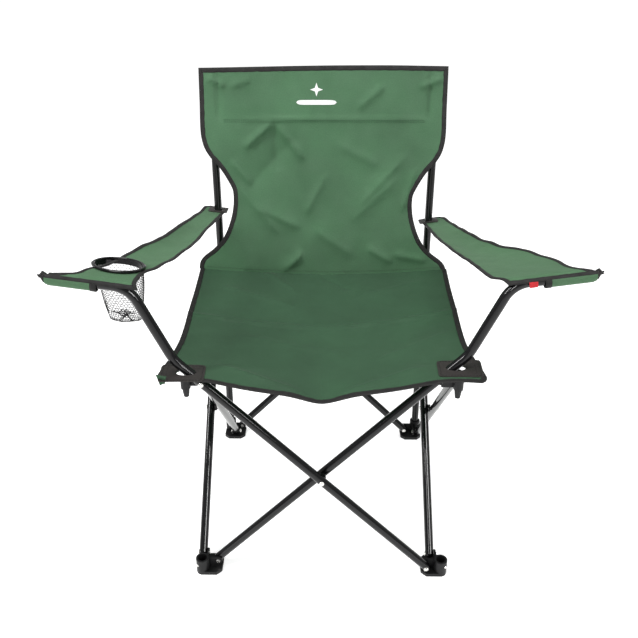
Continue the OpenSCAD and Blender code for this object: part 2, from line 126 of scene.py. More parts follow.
class ChairClothSizes(bpy.types.PropertyGroup):
    """Sizes of the cloth and its trim."""

    thickness: size_property("Cloth thickness", "Thickness of the woven cloth", 0.8, 0.3, 2)
    cell: size_property("Mesh cell", "Width of one cell of a cloth mesh", 5, 3, 15)
    tape_width: size_property("Tape width", "Width of the binding tape on each face", 8.5, 4, 14)
    tape_thickness: size_property("Tape thickness", "Thickness of the binding tape", 0.9, 0.4, 2)
    seat_half_width: size_property(
        "Seat half width", "Half width of the seat at its rear corners", 262, 240, 280,
    )
    seat_lift: size_property("Seat lift", "Height of the seat's edge over the hubs", 10.5, 6, 16)
    back_lean: FloatProperty(
        name="Back lean", description="Lean of the back's cloth from the vertical",
        default=math.radians(13.2), min=math.radians(8), max=math.radians(18),
        unit="ROTATION",
    )
    patch_width: size_property("Patch width", "Width of a seat patch", 72, 50, 76)
    patch_depth: size_property("Patch depth", "Depth of a seat patch", 54, 40, 58)
    net_columns: IntProperty(
        name="Net columns", description="Number of cells round the cup net",
        default=38, min=24, max=90,
    )
    thread: size_property("Net thread", "Thickness of the cup net's thread", 0.85, 0.3, 1)


def colour_property(name, description, default):
    """A colour of the panel."""
    return FloatVectorProperty(
        name=name, description=description, default=default,
        size=3, min=0, max=1, subtype="COLOR",
    )


class ChairColours(bpy.types.PropertyGroup):
    """Colours of the cloth, trim and frame."""

    # Painted shade: the seat's cloth is the same green as the back's and the armrests', made darker to
    # stand in for the shade it lies in
    seat: colour_property("Seat", "Colour of the seat's cloth", (0.025, 0.079, 0.035))
    back: colour_property("Back", "Colour of the back's cloth", (0.058, 0.152, 0.071))
    arms: colour_property("Armrests", "Colour of the armrests' cloth", (0.062, 0.150, 0.070))
    tape: colour_property("Tape", "Colour of the binding tape", (0.0075, 0.0070, 0.0065))
    patch: colour_property("Patch", "Colour of the stiff patches", (0.022, 0.018, 0.016))
    tube: colour_property("Tube", "Colour of the painted tubes", (0.003, 0.003, 0.0035))
    plastic: colour_property("Plastic", "Colour of the moulded plastic", (0.007, 0.007, 0.0075))
    tag: colour_property("Tag", "Colour of the cloth tag", (0.55, 0.012, 0.02))
    floor: colour_property("Floor", "Colour of the studio floor", (0.93, 0.93, 0.93))


class ChairStageSizes(bpy.types.PropertyGroup):
    """Where the camera stands."""

    camera_depth: FloatProperty(
        name="Camera depth", description="Distance of the camera in front of the base's middle",
        default=1.2019, min=0.5, max=4, unit="LENGTH",
    )
    camera_height: FloatProperty(
        name="Camera height", description="Height of the camera over the floor",
        default=1.0384, min=0.2, max=3, unit="LENGTH",
    )
    camera_pitch: FloatProperty(
        name="Camera pitch", description="How far the camera looks down",
        default=math.radians(27.2), unit="ROTATION",
    )
    lens: FloatProperty(
        name="Lens", description="Focal length in millimetres",
        default=40.15, min=20, max=120,
    )


# ---- Curves and drapes ----


def smooth_line(points):
    """A smooth curve y(x) through a few points given in millimetres, in order of x."""
    xs = [x * MM for x, _ in points]
    ys = [y * MM for _, y in points]
    last = len(xs) - 1

    def slope(i):
        a, b = max(i - 1, 0), min(i + 1, last)
        return (ys[b] - ys[a]) / (xs[b] - xs[a])

    def at(x):
        x = min(max(x, xs[0]), xs[-1])
        i = min(bisect_right(xs, x) - 1, last - 1)
        h = xs[i + 1] - xs[i]
        t = (x - xs[i]) / h
        rise = 3 * t * t - 2 * t**3
        start = (t - 2 * t * t + t**3) * h * slope(i)
        end = (t**3 - t * t) * h * slope(i + 1)
        return ys[i] * (1 - rise) + ys[i + 1] * rise + start + end

    return at


def smoothstep(low, high, x):
    """0 before low, 1 after high, and a smooth rise between them."""
    t = min(max((x - low) / (high - low), 0), 1)
    return t * t * (3 - 2 * t)


# How deep the folds are, as a share of the depths in their tables
FOLD_DEPTH = 3.4


def fold_height(a, b, folds):
    """Height of soft folds at a point of a pattern. A fold is its two ends, depth and width in mm."""
    total = 0
    for a0, b0, a1, b1, depth, width in folds:
        run_a, run_b = a1 - a0, b1 - b0
        length = math.hypot(run_a, run_b)
        off_a, off_b = a / MM - a0, b / MM - b0
        share = (off_a * run_a + off_b * run_b) / length**2
        away = abs(off_a * run_b - off_b * run_a) / length
        fade = smoothstep(-0.12, 0.2, share) * (1 - smoothstep(0.8, 1.12, share))
        total += FOLD_DEPTH * depth * MM * fade * math.exp(-away / width)
    return total


def ripple(a, b, scale, seed):
    """A smooth value from -1 to 1 that wanders over a pattern."""
    return noise.noise(Vector((a * scale, b * scale, seed)))


class Drape:
    """Takes a cloth's flat pattern, in metres, to where the cloth lies."""

    def __init__(self, place, facing=1):
        self.place = place
        self.facing = facing

    def normal(self, a, b):
        """Direction that the cloth's good side faces."""
        step = 0.5 * MM
        across = self.place(a + step, b) - self.place(a - step, b)
        along = self.place(a, b + step) - self.place(a, b - step)
        return across.cross(along).normalized() * self.facing

    def at(self, a, b, height=0):
        """Place of a pattern point, raised off the cloth by a height."""
        point = self.place(a, b)
        return point + self.normal(a, b) * height if height else point


def lay_on(bm, drape):
    """Moves a flat bmesh, whose Z is its height over the cloth, onto a draped cloth."""
    for vert in bm.verts:
        vert.co = drape.at(*vert.co)
    if drape.facing < 0:
        bmesh.ops.reverse_faces(bm, faces=bm.faces)


def keep_pattern(bm):
    """Writes a flat bmesh's own X and Y to its UV map, in metres."""
    uv = bm.loops.layers.uv.new("pattern")
    for face in bm.faces:
        for loop in face.loops:
            loop[uv].uv = loop.vert.co.xy


def make_piece(name, bm, material):
    """A new object at the origin from a bmesh measured from the middle of the base."""
    bmesh.ops.translate(bm, verts=bm.verts, vec=(0, BASE_Y, 0))
    for face in bm.faces:
        face.smooth = True
    # A cloth's cut edge stays sharp, so that its rim doesn't shade its faces
    for edge in bm.edges:
        edge.smooth = not edge.is_boundary
    mesh = bpy.data.meshes.new(name)
    bm.to_mesh(mesh)
    bm.free()
    mesh.materials.append(material)
    piece = bpy.data.objects.new(name, mesh)
    bpy.context.scene.collection.objects.link(piece)
    return piece


def thicken(piece, thickness, offset=0):
    """Gives a cloth its thickness."""
    wall = piece.modifiers.new("thickness", "SOLIDIFY")
    wall.thickness = thickness
    wall.offset = offset
    wall.use_even_offset = False


# ---- Cloth and trim ----


def face_up(bm):
    """Turns the faces of a flat bmesh to its good side."""
    bmesh.ops.recalc_face_normals(bm, faces=bm.faces)
    if sum(face.normal.z for face in bm.faces) < 0:
        bmesh.ops.reverse_faces(bm, faces=bm.faces)


def cut_sheet(rows, columns, cut):
    """A flat bmesh of a pattern. cut takes a place in the unit square to a pattern point."""
    bm = bmesh.new()
    bmesh.ops.create_grid(bm, x_segments=columns, y_segments=rows, size=0.5)
    for vert in bm.verts:
        vert.co = (*cut(vert.co.x + 0.5, vert.co.y + 0.5), 0)
    face_up(bm)
    return bm


def punch(bm, centre, half_a, half_b):
    """Cuts an oval hole in a flat pattern and draws its rim onto the oval."""

    def reach(point):
        return math.hypot((point.x - centre[0]) / half_a, (point.y - centre[1]) / half_b)

    inside = [face for face in bm.faces if reach(face.calc_center_median()) < 1]
    rim = {vert for face in inside for vert in face.verts}
    bmesh.ops.delete(bm, geom=inside, context="FACES")
    for vert in rim:
        if vert.is_valid and vert.link_faces:
            out = reach(vert.co)
            vert.co.x = centre[0] + (vert.co.x - centre[0]) / out
            vert.co.y = centre[1] + (vert.co.y - centre[1]) / out


def sheet_piece(name, bm, drape, material, width=None):
    sizes = bpy.context.scene.chair_cloth
    area = sum(face.calc_area() for face in bm.faces)
    width = width or max(v.co.x for v in bm.verts) - min(v.co.x for v in bm.verts)
    keep_pattern(bm)
    lay_on(bm, drape)
    piece = make_piece(name, bm, material)
    thicken(piece, sizes.thickness)
    return piece


def edge_points(cut, corners, step):
    """Pattern points along the sides of the unit square between some of its corners."""
    points = []
    for (u0, v0), (u1, v1) in zip(corners, corners[1:]):
        ends = Vector(cut(u0, v0)), Vector(cut(u1, v1))
        count = max(2, round((ends[1] - ends[0]).length / step))
        for i in range(count + 1):
            t = i / count
            point = Vector(cut(u0 + (u1 - u0) * t, v0 + (v1 - v0) * t))
            if not points or (point - points[-1]).length > step / 10:
                points.append(point)
    return points


def tape_piece(name, points, drape, material, inward, closed=False, narrow=1):
    """Binding tape folded over a cloth's edge. inward is 1 where the cloth lies left of the path."""
    sizes = bpy.context.scene.chair_cloth
    width, thick = sizes.tape_width * narrow, sizes.tape_thickness
    over = sizes.thickness / 2 + thick
    profile = (
        (width, over - 0.6 * thick), (width - 0.8 * MM, over), (width * 0.5, over * 0.9),
        (0.6 * MM, over), (-thick, over * 0.55), (-thick, -over * 0.55), (0.6 * MM, -over),
        (width * 0.5, -over * 0.9), (width - 0.8 * MM, -over), (width, -over + 0.6 * thick),
    )
    bm = bmesh.new()
    run = bm.verts.layers.float.new("run")
    across = bm.verts.layers.float.new("across")
    count = len(points)
    length = 0
    ring = None
    for i in range(count + 1 if closed else count):
        here = points[i % count]
        before = points[(i - 1) % count] if closed or i else here
        after = points[(i + 1) % count] if closed or i < count - 1 else here
        if i:
            length += (here - points[i - 1]).length
        arrives = before != here
        incoming = (here - before if arrives else after - here).normalized()
        outgoing = (after - here).normalized() if after != here else incoming
        way = (incoming + outgoing).normalized()
        mitre = 1 / max(0.65, way.dot(outgoing))
        side = Vector((-way.y, way.x)) * inward
        pucker = 1 + 0.10 * ripple(length, 0.3, 90, inward)
        lift = 0.5 * MM * ripple(length, 0.7, 60, 3)
        if ring is None:
            ring = [bm.verts.new() for _ in profile]
            edges = [bm.edges.new(pair) for pair in zip(ring, ring[1:])]
        else:
            made = bmesh.ops.extrude_edge_only(bm, edges=edges)["geom"]
            new = [g for g in made if isinstance(g, bmesh.types.BMVert)]
            ring = [
                next(e.other_vert(v) for e in v.link_edges if e.other_vert(v) in new) for v in ring
            ]
            edges = [bm.edges.get(pair) for pair in zip(ring, ring[1:])]
        for vert, (inset, height) in zip(ring, profile):
            inset = inset * pucker if inset > 0 else inset
            place = here + side * inset * mitre
            vert.co = (place.x, place.y, height + lift * (inset > 0.5 * width))
            vert[run] = length
            vert[across] = inset
    uv = bm.loops.layers.uv.new("pattern")
    for face in bm.faces:
        for loop in face.loops:
            loop[uv].uv = (loop.vert[run], loop.vert[across])
    lay_on(bm, drape)
    bmesh.ops.remove_doubles(bm, verts=bm.verts, dist=0.01 * MM)
    bmesh.ops.recalc_face_normals(bm, faces=bm.faces)
    piece = make_piece(name, bm, material)
    thicken(piece, 0.35 * MM, offset=-1)
    return piece


def ring_layers(bm, count, rings, twist=0):
    """Layers of vertices grown from a circle, and each one's angle. twist turns each layer."""
    circle = bmesh.ops.create_circle(bm, cap_ends=False, segments=count, radius=1)["verts"]
    edges = list({edge for vert in circle for edge in vert.link_edges})
    angle = {vert: math.atan2(vert.co.y, vert.co.x) for vert in circle}
    layers = [circle]
    for _ in range(rings):
        made = bmesh.ops.extrude_edge_only(bm, edges=edges)["geom"]
        new = [g for g in made if isinstance(g, bmesh.types.BMVert)]
        for old in layers[-1]:
            for edge in old.link_edges:
                other = edge.other_vert(old)
                if other in new:
                    angle[other] = angle[old] + twist
        edges = [
            g for g in made
            if isinstance(g, bmesh.types.BMEdge) and all(v in new for v in g.verts)
        ]
        layers.append(new)
    return layers, angle


PATCH_SEGMENTS, PATCH_RINGS = 48, 5
# How square a patch's outline is
PATCH_SQUARE = 12
# The rim of a patch's hole stands up, over this share of the way to its outline
PATCH_DOME = 0.9 * MM
PATCH_DOME_SHARE = 0.625


def patch_bmesh(centre, size, turn, hole, shift=(0, 0)):
    """A flat stiff patch with rounded corners, and an oval hole that may lie off its middle."""
    bm = bmesh.new()
    layers, angle = ring_layers(bm, PATCH_SEGMENTS, PATCH_RINGS)
    for i, layer in enumerate(layers):
        share = i / PATCH_RINGS
        risen = share < PATCH_DOME_SHARE
        dome = PATCH_DOME * math.sin(math.pi * share / PATCH_DOME_SHARE) if risen else 0
        for vert in layer:
            c, s = math.cos(angle[vert]), math.sin(angle[vert])
            rim = Vector((c * hole[0], s * hole[1]))
            reach = (abs(c) ** PATCH_SQUARE + abs(s) ** PATCH_SQUARE) ** (-1 / PATCH_SQUARE)
            out = Vector((c * reach * size[0] / 2, s * reach * size[1] / 2))
            out.rotate(Matrix.Rotation(turn, 2))
            place = Vector(centre) + rim.lerp(out + Vector(shift), share)
            vert.co = (*place, dome)
    face_up(bm)
    return bm


def stitch_bmesh(lines, height, length=3.2 * MM, gap=1.6 * MM, width=0.7 * MM):
    """Flat rows of stitches along lines of pattern points."""
    bm = bmesh.new()
    for line in lines:
        points = [Vector(p) for p in line]
        for start, end in zip(points, points[1:]):
            run = end - start
            count = max(1, round(run.length / (length + gap)))
            for i in range(count):
                at = start + run * ((i + 0.5) / count)
                turn = Matrix.Rotation(math.atan2(run.y, run.x), 4, "Z")
                scale = Matrix.Diagonal((length, width, 0.5 * MM, 1))
                place = Matrix.Translation((at.x, at.y, height))
                bmesh.ops.create_cube(bm, size=1, matrix=place @ turn @ scale)
    return bm


def trim_piece(name, bm, drape, material, thickness=0):
    """A flat bmesh laid on a cloth as a piece of trim."""
    keep_pattern(bm)
    lay_on(bm, drape)
    piece = make_piece(name, bm, material)
    if thickness:
        thicken(piece, thickness, offset=1)
    return piece


# ---- Finishes ----


class Finish:
    """A material's node tree, with short ways to add what a finish needs."""

    def __init__(self, name):
        self.material = bpy.data.materials.new(name)
        self.material.use_nodes = True
        self.tree = self.material.node_tree
        self.shader = self.tree.nodes["Principled BSDF"]

    def add(self, kind, inputs=None, **settings):
        """A node with its settings and its inputs, which are values or sockets."""
        node = self.tree.nodes.new(kind)
        for key, value in settings.items():
            setattr(node, key, value)
        for key, value in (inputs or {}).items():
            if isinstance(value, bpy.types.NodeSocket):
                self.tree.links.new(value, node.inputs[key])
            else:
                node.inputs[key].default_value = value
        return node

    def link(self, output, key):
        """Joins an output to the shader."""
        self.tree.links.new(output, self.shader.inputs[key])

    def sums(self, operation, a, b):
        """A value worked out from two others."""
        return self.add("ShaderNodeMath", {0: a, 1: b}, operation=operation).outputs[0]

    def spread(self, vector, scale, low, high, detail=3.0):
        """Noise over a surface, as a value from low to high."""
        cloud = self.add("ShaderNodeTexNoise", {"Vector": vector, "Scale": scale, "Detail": detail})
        ranged = self.add(
            "ShaderNodeMapRange",
            {"Value": cloud.outputs["Fac"], "From Min": 0.3, "From Max": 0.7, "To Min": low,
             "To Max": high},
        )
        return ranged.outputs["Result"]

    def tint(self, colour, amount):
        """A colour made lighter or darker by a varying amount."""
        mixed = self.add("ShaderNodeVectorMath", {0: tuple(colour), 3: amount}, operation="SCALE")
        return mixed.outputs["Vector"]

    def bump(self, height, distance, strength=1.0):
        """Raises the surface by a height."""
        raised = self.add(
            "ShaderNodeBump", {"Height": height, "Distance": distance, "Strength": strength}
        )
        self.link(raised.outputs["Normal"], "Normal")

    def set(self, **values):
        """Sets values that are the same all over the surface."""
        for key, value in values.items():
            self.shader.inputs[key.replace("_", " ")].default_value = value


def woven_finish(name, colour, thread=0.9 * MM, ribbed=False, sheen=0.05, roughness=0.72):
    """Plain-woven synthetic cloth: crossing threads, faint fading and a dull sheen."""
    finish = Finish(name)
    pattern = finish.add("ShaderNodeTexCoord").outputs["UV"]
    threads = []
    for direction in ("X", "Y"):
        wave = finish.add(
            "ShaderNodeTexWave",
            {"Vector": pattern, "Scale": math.pi / 10 / thread, "Distortion": 0.6, "Detail": 1.0,
             "Detail Scale": 0.3},
            bands_direction=direction,
        )
        threads.append(wave.outputs["Fac"])
    weave = threads[1] if ribbed else finish.sums("MULTIPLY", *threads)
    fading = finish.spread(pattern, 9.0, 0.88, 1.12)
    slub = finish.spread(pattern, 420.0, 0.93, 1.07, detail=1.0)
    thread_shade = finish.add(
        "ShaderNodeMapRange", {"Value": weave, "To Min": 0.86, "To Max": 1.12}
    ).outputs["Result"]
    amount = finish.sums("MULTIPLY", finish.sums("MULTIPLY", fading, slub), thread_shade)
    finish.link(finish.tint(colour, amount), "Base Color")
    finish.link(finish.spread(pattern, 30.0, roughness - 0.06, roughness + 0.08), "Roughness")
    finish.bump(weave, 0.14 * MM, 0.6)
    finish.set(Sheen_Weight=sheen, Sheen_Roughness=0.5, Specular_IOR_Level=0.28)
    return finish.material


# Spacing of the tape's ribs and of its stitches, half the gap between two stitches,
# the seam's distance from the tape's outer edge, and half its thread's width
TAPE_RIB = 1.1 * MM
TAPE_STITCH, TAPE_STITCH_GAP = 2.4 * MM, 0.7 * MM
TAPE_SEAM, TAPE_THREAD = 6.2 * MM, 0.5 * MM


def tape_finish(name, colour):
    """Ribbed binding tape with a row of stitches near its inner edge."""
    finish = Finish(name)
    pattern = finish.add("ShaderNodeTexCoord").outputs["UV"]
    parts = finish.add("ShaderNodeSeparateXYZ", {"Vector": pattern})
    rib = finish.add(
        "ShaderNodeTexWave",
        {"Vector": pattern, "Scale": math.pi / 10 / TAPE_RIB, "Distortion": 0.4},
        bands_direction="X",
    ).outputs["Fac"]
    stitch = finish.sums("PINGPONG", parts.outputs["X"], TAPE_STITCH)
    dash = finish.sums("GREATER_THAN", stitch, TAPE_STITCH_GAP)
    off_line = finish.sums("ABSOLUTE", finish.sums("SUBTRACT", parts.outputs["Y"], TAPE_SEAM), 0)
    on_line = finish.sums("LESS_THAN", off_line, TAPE_THREAD)
    sewn = finish.sums("MULTIPLY", dash, on_line)
    wear = finish.spread(pattern, 60.0, 0.75, 1.35)
    ribs = finish.sums("ADD", finish.sums("MULTIPLY", rib, 0.3), 0.85)
    threads = finish.sums("ADD", finish.sums("MULTIPLY", sewn, 1.2), 1)
    amount = finish.sums("MULTIPLY", finish.sums("MULTIPLY", wear, ribs), threads)
    finish.link(finish.tint(colour, amount), "Base Color")
    finish.link(finish.spread(pattern, 80.0, 0.6, 0.8), "Roughness")
    finish.bump(finish.sums("ADD", finish.sums("MULTIPLY", rib, 0.4), sewn), 0.25 * MM, 0.7)
    finish.set(Sheen_Weight=0.04, Sheen_Roughness=0.45, Specular_IOR_Level=0.25)
    return finish.material


def binding_tape():
    """The one material of every tape."""
    colours = bpy.context.scene.chair_colours
    return bpy.data.materials.get("binding_tape") or tape_finish("binding_tape", colours.tape)


def painted_finish(name, colour):
    """Gloss black paint on steel tube: faint orange peel and fine scuffs."""
    finish = Finish(name)
    place = finish.add("ShaderNodeTexCoord").outputs["Object"]
    scuffs = finish.spread(place, 90.0, 0.07, 0.14)
    finish.link(scuffs, "Roughness")
    finish.link(finish.tint(colour, finish.spread(place, 25.0, 0.7, 1.5)), "Base Color")
    finish.bump(finish.spread(place, 260.0, 0.0, 1.0, detail=1.0), 0.03 * MM, 0.5)
    finish.set(Specular_IOR_Level=0.3, Coat_Weight=0.12, Coat_Roughness=0.05)
    return finish.material


def moulded_finish(name, colour):
    """Matt moulded plastic with a fine grain and paler rubbed places."""
    finish = Finish(name)
    place = finish.add("ShaderNodeTexCoord").outputs["Object"]
    rubbed = finish.spread(place, 35.0, 0.8, 1.5)
    grain = finish.spread(place, 1400.0, 0.0, 1.0, detail=1.0)
    finish.link(finish.tint(colour, rubbed), "Base Color")
    finish.link(finish.spread(place, 60.0, 0.38, 0.52), "Roughness")
    finish.bump(grain, 0.08 * MM, 0.5)
    finish.set(Specular_IOR_Level=0.25)
    return finish.material


def metal_finish(name, colour=(0.78, 0.77, 0.74)):
    """Bright plated steel of the rivets, lightly scratched."""
    finish = Finish(name)
    place = finish.add("ShaderNodeTexCoord").outputs["Object"]
    finish.link(finish.tint(colour, finish.spread(place, 500.0, 0.75, 1.1)), "Base Color")
    finish.link(finish.spread(place, 300.0, 0.18, 0.38), "Roughness")
    finish.set(Metallic=1.0)
    return finish.material


def print_finish(name):
    """White ink printed on cloth, a little worn where the threads show."""
    finish = Finish(name)
    pattern = finish.add("ShaderNodeTexCoord").outputs["UV"]
    worn = finish.spread(pattern, 700.0, 0.86, 1.04)
    finish.link(finish.tint((0.86, 0.88, 0.86), worn), "Base Color")
    finish.link(finish.spread(pattern, 200.0, 0.55, 0.7), "Roughness")
    finish.bump(finish.spread(pattern, 900.0, 0.0, 1.0, detail=1.0), 0.06 * MM, 0.5)
    return finish.material


# ---- Seat ----

SEAT_EDGE = smooth_line([
    (-252, -13), (-246, -4), (-234, 0), (-182, -8), (-115, -13), (0, -9), (110, -5), (204, 0),
])
SEAT_DROP = smooth_line([(-252, 43), (-120, 36), (0, 29), (110, 20), (204, 12)])
SEAT_FOLDS = (
    (-262, -8, -10, -14, 1.8, 4), (10, -14, 262, 10, 1.8, 4),
    (-172, -196, -26, -238, 2.4, 12), (172, -196, 26, -240, 2.0, 14),
    (-200, 120, -60, 60, 1.6, 16), (60, 90, 210, 150, 1.4, 18),
    (-150, -60, 40, -110, 1.2, 16), (90, -150, 230, -70, 1.4, 14),
    (-120, 196, -60, 120, 2.0, 12), (-6, 196, 60, 130, -1.4, 14),
)


def seat_height(x, y):
    """Height of the seat's cloth over the floor."""
    sizes = bpy.context.scene.chair_cloth
    side = abs(x) / sizes.seat_half_width
    near = 1 - math.hypot(side, 0.03) / 0.70
    vee = (near + math.hypot(near, 0.12)) / 2
    bowl = 1 - side * side
    forward = 1 - smoothstep(-0.25, -0.02, y)
    sag = SEAT_DROP(y) * (vee * forward + bowl * (1 - forward))
    calm = smoothstep(0, 0.06, abs(x))
    waves = 1.0 * MM * ripple(x, y, 14, 2) * calm
    return HUB_TOP + sizes.seat_lift - sag + waves + fold_height(x, y, SEAT_FOLDS)


def seat_drape():
    """How the seat's cloth lies."""
    return Drape(lambda a, b: Vector((a, b, seat_height(a, b))))


def seat_cut(side):
    """The pattern of one half of the seat."""
    half = bpy.context.scene.chair_cloth.seat_half_width

    def cut(u, v):
        y = SEAT_FRONT + (SEAT_REAR - SEAT_FRONT) * v
        x = (half + SEAT_EDGE(y)) * u
        bow = 3.5 * MM * math.sin(math.pi * 3 * u) * (1 - smoothstep(0, 0.12, v))
        return side * x, y + bow * u

    return cut


def tube_hole(name):
    """Where an arm tube goes through the seat."""
    low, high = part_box(f"seat_patch_{name}")
    return from_base((low + high) / 2)


def squashed(piece, body):
    """Lets a piece ride on a body, with a mesh of its own."""
    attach(piece, body)
    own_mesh(piece)


# How far the tube's hole reaches across and along the seat
SEAT_HOLE = (15.5 * MM, 9.5 * MM)
# How a patch is turned, and how far its middle lies out and forward of the hole
PATCH_TURN = math.radians(-3)
PATCH_OUT, PATCH_FORWARD = 5 * MM, 1 * MM
# The patch's two rows of stitches, from its edge
PATCH_SEAMS = (4 * MM, 11 * MM)
PATCH_LIFT = 0.6 * MM


def box_line(half_a, half_b, turn, centre):
    """The closed outline of a turned box, as pattern points."""
    line = [Vector((i * half_a, j * half_b)) for i, j in ((-1, -1), (1, -1), (1, 1), (-1, 1), (-1, -1))]
    for corner in line:
        corner.rotate(Matrix.Rotation(turn, 2))
    return [centre + corner for corner in line]


def build_seat():
    """The two seat halves with their tape, patches and stitches."""
    colours = bpy.context.scene.chair_colours
    sizes = bpy.context.scene.chair_cloth
    drape = seat_drape()
    # The seat's cloth takes the darker seat green, which is painted shade
    cloth = woven_finish("seat_cloth", colours.seat)
    tape = binding_tape()
    stiff = woven_finish("patch_cloth", colours.patch, thread=1.4 * MM, roughness=0.55)
    thread = woven_finish("stitch_thread", colours.tape, thread=0.5 * MM)
    for name, side in SIDES.items():
        cut = seat_cut(side)
        hole = tube_hole(name)
        turn = side * PATCH_TURN
        patch_size = (sizes.patch_width, sizes.patch_depth)
        columns = round(sizes.seat_half_width / sizes.cell)
        rows = round((SEAT_REAR - SEAT_FRONT) / sizes.cell)
        edge = edge_points(cut, [(0, 0), (1, 0), (1, 1)], sizes.cell)
        trim = [tape_piece(f"seat_tape_{name}", edge, drape, tape, inward=side)]
        shift = Vector((side * PATCH_OUT, -PATCH_FORWARD))
        patch = patch_bmesh(hole.xy, patch_size, turn, SEAT_HOLE, shift)
        trim.append(trim_piece(
            f"seat_patch_cloth_{name}", patch, raised(drape, PATCH_LIFT), stiff, 1.0 * MM,
        ))
        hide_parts(f"seat_patch_{name}")
        lines = [
            box_line(patch_size[0] / 2 - inset, patch_size[1] / 2 - inset, turn, hole.xy + shift)
            for inset in PATCH_SEAMS
        ]
        trim.append(trim_piece(f"seat_stitches_{name}", stitch_bmesh(lines, 1.8 * MM), drape, thread))
        bm = cut_sheet(rows, columns, cut)
        punch(bm, hole.xy, SEAT_HOLE[0] - MM, SEAT_HOLE[1] - MM)
        piece = sheet_piece(
            f"seat_cloth_{name}", bm, drape, cloth,
        )
        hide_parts(f"seat_{name}")
        for part, slot in zip([piece, *trim], ("seat_cloth", "back_cloth", "patch", "patch")):
            squashed(part, f"{name}_seat")


def raised(drape, height):
    """The same drape, a little higher."""
    return Drape(lambda a, b: drape.at(a, b, height), drape.facing)


# ---- Back ----

BACK_EDGE = smooth_line([
    (430, 264), (448, 261), (462, 251), (478, 232), (500, 212), (525, 199), (560, 189), (596, 188),
    (616, 197), (644, 215), (664, 233), (684, 245), (712, 251), (770, 251), (840, 251),
])
BACK_FOLDS = (
    (-107, 730, -163, 683, 3.2, 6), (-93, 724, -42, 660, 3.2, 6), (-100, 726, -98, 640, -2.2, 16),
    (-144, 568, -51, 523, 2.2, 7), (-172, 603, -98, 514, 2.0, 8), (-46, 472, -98, 424, 3.4, 7),
    (-172, 442, -98, 422, 2.6, 7), (168, 668, 74, 568, 2.0, 12), (121, 802, 70, 760, 2.2, 7),
    (5, 628, -37, 552, 1.8, 9), (94, 483, 145, 455, 1.8, 8), (-60, 700, -160, 600, -1.8, 22),
    (60, 540, 150, 620, 1.6, 14), (-20, 520, 60, 470, 1.6, 12), (30, 690, 110, 650, 1.6, 12),
    (-214, 738, -214, 826, -2.4, 3), (214, 738, 214, 826, -2.4, 3), (-190, 800, -150, 812, 2.0, 5),
    (-236, 816, -200, 800, 3.0, 4), (236, 816, 196, 800, 3.2, 4), (-160, 738, 205, 738, 1.6, 2.5),
    (-190, 655, -150, 610, 1.8, 6), (190, 640, 165, 560, 1.8, 6), (150, 470, 220, 455, 2.0, 7),
)
BACK_SEAM_Z = 0.432
# Half the distance between the pockets' seams, and the length of cloth behind a post
POCKET_SEAM = 214.5 * MM
POCKET_WRAP = 90 * MM
POCKET_ROOM = 2.2 * MM
POCKET_FLARE = 34 * MM
# Half length of the hem's two rows of stitches, and their heights
HEM_HALF = 205 * MM
HEM_HEIGHTS = (736.5 * MM, 732.5 * MM)


def back_side(x):
    """The sitter's left edge is cut a little narrower and lower than the right one."""
    return smoothstep(-0.1, 0.1, x)


def back_drape():
    """How the back's cloth hangs. Its pattern is X and the height it hangs at."""
    lean = math.tan(bpy.context.scene.chair_cloth.back_lean)

    def place(x, z):
        seam = seat_height(x, SEAT_REAR) - BACK_SEAM_Z
        low = 1 - smoothstep(0.43, 0.50, z)
        belly = 5 * MM * math.sin(math.pi * smoothstep(0.43, 0.80, z)) * (1 - (x / 0.26) ** 2)
        waves = 1.6 * MM * ripple(x, z, 11, 7)
        push = fold_height(x, z, BACK_FOLDS) + waves - belly
        y = SEAT_REAR + (z - BACK_SEAM_Z) * lean - push * (1 - smoothstep(0.46, 0.43, z))
        return Vector((x, y, z + seam * low))

    return Drape(place)


def back_cut(u, v):
    """The pattern of the back's cloth."""
    top = BACK_TOP + 15 * MM + 3 * MM * math.sin(math.pi * (u * 1.1 - 0.25))
    z = BACK_SEAM_Z + (top - BACK_SEAM_Z) * v
    across = 2 * u - 1
    edge = BACK_EDGE(z + 10 * MM * back_side(across)) - 3 * MM * back_side(across)
    return across * edge, z


def build_back():
    """The back's cloth with its tape, hem stitches and pockets."""
    colours = bpy.context.scene.chair_colours
    sizes = bpy.context.scene.chair_cloth
    drape = back_drape()
    cloth = woven_finish("back_cloth", colours.back)
    tape = binding_tape()
    thread = woven_finish("hem_thread", [c * 0.55 for c in colours.back], thread=0.5 * MM)
    loop = edge_points(back_cut, [(0, 0), (0, 1), (1, 1), (1, 0)], sizes.cell)
    trim = [tape_piece("back_tape", loop, drape, tape, inward=-1)]
    hem = [[(-HEM_HALF + 10 * MM * i, z) for i in range(42)] for z in HEM_HEIGHTS]
    seams = [[(side * POCKET_SEAM, 0.740), (side * POCKET_SEAM, 0.818)] for side in (1, -1)]
    base = [[(-0.25 + 0.01 * i, 0.4375 + 0.001 * (i % 2)) for i in range(51)]]
    bm = stitch_bmesh(hem + seams + base, 0.55 * MM, length=2.6 * MM, gap=1.4 * MM, width=0.6 * MM)
    trim.append(trim_piece("back_stitches", bm, drape, thread))
    columns = round(0.5 / sizes.cell)
    rows = round((BACK_TOP - BACK_SEAM_Z) / sizes.cell)
    piece = sheet_piece(
        "back_sheet", cut_sheet(rows, columns, back_cut), drape, cloth,
    )
    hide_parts("back_panel")
    pockets = [build_pocket(name, side, drape, cloth) for name, side in SIDES.items()]
    for part in [piece, *trim, *pockets, build_print(drape)]:
        squashed(part, "left_upright")


